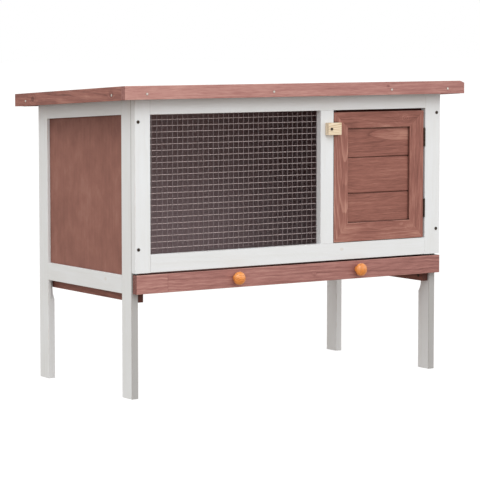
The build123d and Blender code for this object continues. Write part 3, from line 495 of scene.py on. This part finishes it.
PAINTED = {
    "left_front_post": dict(along="Z", face="X", pith=(8, 55), taper=0.02, front_joint=True),
    "left_rear_post": dict(along="Z", face="X", pith=(-40, 50), taper=0.015),
    "right_front_post": dict(along="Z", face="X", pith=(30, -50), taper=0.02, front_joint=True),
    "right_rear_post": dict(along="Z", face="X", pith=(-10, -60), taper=0.02),
    "left_top_rail": dict(along="Y", face="X", pith=(12, 60), taper=0.03),
    "left_bottom_rail": dict(
        along="Y", face="X", pith=(-8, 50), taper=0.03, knots=((6, -90, 4.0),),
    ),
    "right_top_rail": dict(along="Y", face="X", pith=(-12, -60), taper=0.03),
    "right_bottom_rail": dict(
        along="Y", face="X", pith=(14, -50), taper=0.03, knots=((-5, 60, 4.0),),
    ),
    "front_left_stile": dict(along="Z", face="Y", pith=(-12, -45), taper=0.03, tone=0.04),
    "front_middle_stile": dict(along="Z", face="Y", pith=(6, -40), taper=0.035, tone=0.06),
    "front_right_stile": dict(along="Z", face="Y", pith=(30, -50), taper=0.02, tone=0.04),
    # front_top_rail's lower tone is a painted shade for the shadow under the eaves.
    "front_top_rail": dict(along="X", face="Y", pith=(10, -60), taper=0.02, tone=-0.03),
    "front_bottom_rail": dict(
        along="X", face="Y", pith=(-20, -50), taper=0.02, tone=0.04, knots=((4, 130, 3.5),),
    ),
}
PLYWOOD = {
    # left_panel's top is a painted shadow under the eaves.
    "left_panel": dict(
        along="Z", face="X", pith=(60, 10), taper=0.03, spacing=13, wander=16, pink=0.1,
        contrast=0.7, tone=-0.04, top=0.19,
    ),
    "right_panel": dict(
        along="Z", face="X", pith=(-50, -10), taper=0.03, spacing=13, wander=16, contrast=0.8,
    ),
    "back_panel": dict(
        along="X", face="Y", pith=(80, 12), taper=0.02, spacing=14, wander=20, tone=0.14,
        pink=0.3, grey=0.92,
    ),
    "tray_bottom": dict(
        along="X", face="Z", pith=(90, 12), taper=0.02, spacing=14, wander=20, tone=-0.05,
    ),
}


def dress(node, material):
    """Gives a CAD node this material on all its faces."""
    mesh = nodes[node].data
    mesh.materials.clear()
    mesh.materials.append(material)


seed = 1
for table, make in ((STAINED, stained), (PAINTED, painted), (PLYWOOD, plywood)):
    for node, look in table.items():
        dress(node, make(node, seed=seed, **look))
        seed += 1


# ---------------------------------------------------------------- small parts

def object_place(g, cells):
    """Position, with this many noise cells to the millimetre."""
    place = g.add("ShaderNodeTexCoord").outputs["Object"]
    return g.vector("MULTIPLY", place, (MM * cells,) * 3)


def metal(name, dull, bright, roughness, metallic):
    """Small hardware: clouded and gritty, between a dull and a bright colour."""
    g = Graph(name)
    cloud = g.noise(object_place(g, 0.35), 3.0, 0.6)
    grit = g.noise(object_place(g, 2.3), 2.0, 0.6)
    value = g.total(0.5, (cloud, 1.3), (grit, 0.35))
    colour = g.ramp(value, (0.15, dull), (0.75, bright))
    g.surface(colour, g.total(roughness, (cloud, 0.3), (grit, 0.15)), Metallic=metallic)
    g.bump(g.total(0.5, (grit, 0.6), (cloud, 0.4)), 0.00006)
    return g.material


def zinc_wire():
    """Dull zinc, with painted highlight and shade: the cross wires, which face up and down, are
    bright and the uprights grey.
    """
    g = Graph("galvanised_wire")
    grit = g.noise(object_place(g, 1.3), 3.0, 0.6)
    facing = g.add("ShaderNodeSeparateXYZ")
    g.feed(facing.inputs[0], g.add("ShaderNodeTexCoord").outputs["Normal"])
    # Painted highlight and shade: faces that look up or down are coloured bright and the rest
    # grey, as the cross wires catch the overhead light.
    cross = g.step(g.math("ABSOLUTE", facing.outputs["Z"]), 0.02, 0.2)
    colour = g.blend(cross, srgb(150, 138, 140), srgb(242, 224, 223))
    colour = g.blend(g.step(grit, 0.0, 0.4), colour, srgb(128, 119, 115))
    g.surface(colour, g.total(0.36, (grit, 0.3)), Metallic=0.45)
    g.bump(g.total(0.5, (grit, 0.6)), 0.00004)
    return g.material


wire = zinc_wire()
nail = metal("nail_steel", srgb(176, 168, 160), srgb(236, 230, 224), 0.34, 0.75)
steel = metal("dark_steel", srgb(40, 32, 30), srgb(88, 76, 68), 0.45, 0.8)
for node in ("wire_mesh", "mesh_staples"):
    dress(node, wire)
for node in ("roof_nails", "back_panel_nails"):
    dress(node, nail)
for node in (
    "hinge_frame_leaves", "hinge_door_leaves", "hinge_pins",
    "hinge_frame_screws", "hinge_door_screws", "front_frame_screws",
    "turn_button_screw", "runner_screws", "knob_screws",
):
    dress(node, steel)


def pine(node, colours, roughness, coat, **grain):
    """Planed pine without stain, under a varnish coat or bare."""
    dark, mid, light = colours
    board = Board(node, **grain)
    g = board.g
    value = g.total(0.55, (board.streak, 0.5), (board.blotch, 0.3), (board.fibre, 0.35),
                    (board.late, -0.42))
    colour = g.ramp(value, (0.1, dark), (0.5, mid), (0.9, light))
    rough = g.total(roughness, (board.fibre, 0.2))
    g.surface(colour, rough, Coat_Weight=coat, Coat_Roughness=0.12)
    g.bump(g.total(0.5, (board.fibre, 0.6), (board.late, 0.5)), 0.00012)
    return g.material


HONEY = (srgb(176, 88, 28), srgb(236, 144, 62), srgb(250, 184, 104))
CREAM = (srgb(196, 164, 122), srgb(233, 214, 186), srgb(246, 234, 214))
VARNISHED = dict(colours=HONEY, roughness=0.3, coat=0.6, taper=0.1, spacing=2.6, wander=2)
BARE = dict(colours=CREAM, coat=0.0, along="X", face="Y", pith=(14, -18), wander=2)
PINE = {
    "left_knob": dict(along="X", face="Z", pith=(10, -22), **VARNISHED),
    "right_knob": dict(along="Z", face="X", pith=(8, -20), **VARNISHED),
    "turn_button": dict(roughness=0.5, taper=0.06, spacing=2.8, **BARE),
    "frame_dowels": dict(roughness=0.6, taper=0.0, spacing=3.0, **BARE),
}
for node, look in PINE.items():
    dress(node, pine(node, seed=seed, **look))
    seed += 1


# ---------------------------------------------------------------- floor, light and camera

FLOOR_REACH = 40.0  # metres from the middle to each side
FLOOR_LIGHT = (0.355, 0.31, 0.27)  # what the floor sends up to the object


def floor_finish():
    """A pale floor that looks white, and lights the object from below with FLOOR_LIGHT."""
    g = Graph("studio_floor")
    mottle = g.noise(object_place(g, 0.004), 3.0)
    colour = g.ramp(g.total(0.5, (mottle, 0.4)), (0.0, srgb(86, 86, 86)), (1.0, srgb(92, 92, 92)))
    seen = g.add("ShaderNodeLightPath").outputs["Is Camera Ray"]
    glow = g.blend(seen, FLOOR_LIGHT, (1.0, 1.0, 1.0))
    g.surface(colour, 0.8, Specular_IOR_Level=0.0, Emission_Strength=0.97)
    g.feed(g.shader.inputs["Emission Color"], glow)
    return g.material


def lay_floor():
    mesh = bpy.data.meshes.new("studio_floor")
    signs = ((-1, -1), (1, -1), (1, 1), (-1, 1))
    corners = [(FLOOR_REACH * x, FLOOR_REACH * y, 0.0) for x, y in signs]
    mesh.from_pydata(corners, [], [(0, 1, 2, 3)])
    mesh.materials.append(floor_finish())
    floor = bpy.data.objects.new("studio_floor", mesh)
    bpy.context.scene.collection.objects.link(floor)


lay_floor()

STUDIO_COLOUR = srgb(253, 253, 250)
STUDIO_STRENGTH = 1.18
LAMP_COLOUR = (0.94, 0.975, 1.0)


def light_studio():
    """Even light from all sides; the backdrop itself is seen as plain white."""
    world = bpy.data.worlds.new("studio")
    bpy.context.scene.world = world
    world.use_nodes = True
    tree = world.node_tree
    around = tree.nodes["Background"]
    around.inputs["Color"].default_value = (*STUDIO_COLOUR, 1.0)
    around.inputs["Strength"].default_value = STUDIO_STRENGTH
    white = tree.nodes.new("ShaderNodeBackground")
    white.inputs["Color"].default_value = (1.0, 1.0, 1.0, 1.0)
    seen = tree.nodes.new("ShaderNodeLightPath")
    either = tree.nodes.new("ShaderNodeMixShader")
    tree.links.new(seen.outputs["Is Camera Ray"], either.inputs["Fac"])
    tree.links.new(around.outputs[0], either.inputs[1])
    tree.links.new(white.outputs[0], either.inputs[2])
    tree.links.new(either.outputs[0], tree.nodes["World Output"].inputs["Surface"])


def softbox(name, place, target, size, power):
    """A rectangular lamp at place that looks at target; size in metres, power in watts."""
    light = bpy.data.lights.new(name, "AREA")
    light.shape = "RECTANGLE"
    light.size, light.size_y = size
    light.energy = power
    light.color = LAMP_COLOUR
    lamp = bpy.data.objects.new(name, light)
    lamp.location = place
    lamp.rotation_euler = (Vector(target) - Vector(place)).to_track_quat("-Z", "Y").to_euler()
    bpy.context.scene.collection.objects.link(lamp)


light_studio()
softbox("key", (-1.2, -2.4, 2.4), (0.0, 0.0, 0.4), (3.0, 2.0), 37.0)
softbox("fill", (3.0, -2.2, 1.3), (0.0, 0.0, 0.3), (2.0, 1.6), 7.0)

CAMERA_PLACE = (-2.84782, -4.24503, 0.76766)
CAMERA_YAW = 0.5901  # radians to the right of +Y
CAMERA_PITCH = 0.0916  # radians down from level
CAMERA_LENS = 173.016  # mm, for the sensor below
CAMERA_SENSOR = 36.0
CAMERA_REACH = 200.0  # metres, past the far corners of the floor


def set_camera():
    lens = bpy.data.cameras.new("camera")
    lens.lens = CAMERA_LENS
    lens.sensor_width = CAMERA_SENSOR
    lens.clip_end = CAMERA_REACH
    camera = bpy.data.objects.new("camera", lens)
    camera.location = CAMERA_PLACE
    camera.rotation_euler = (math.pi / 2 - CAMERA_PITCH, 0.0, -CAMERA_YAW)
    bpy.context.scene.collection.objects.link(camera)
    bpy.context.scene.camera = camera


set_camera()
bpy.context.scene.view_settings.view_transform = "Standard"
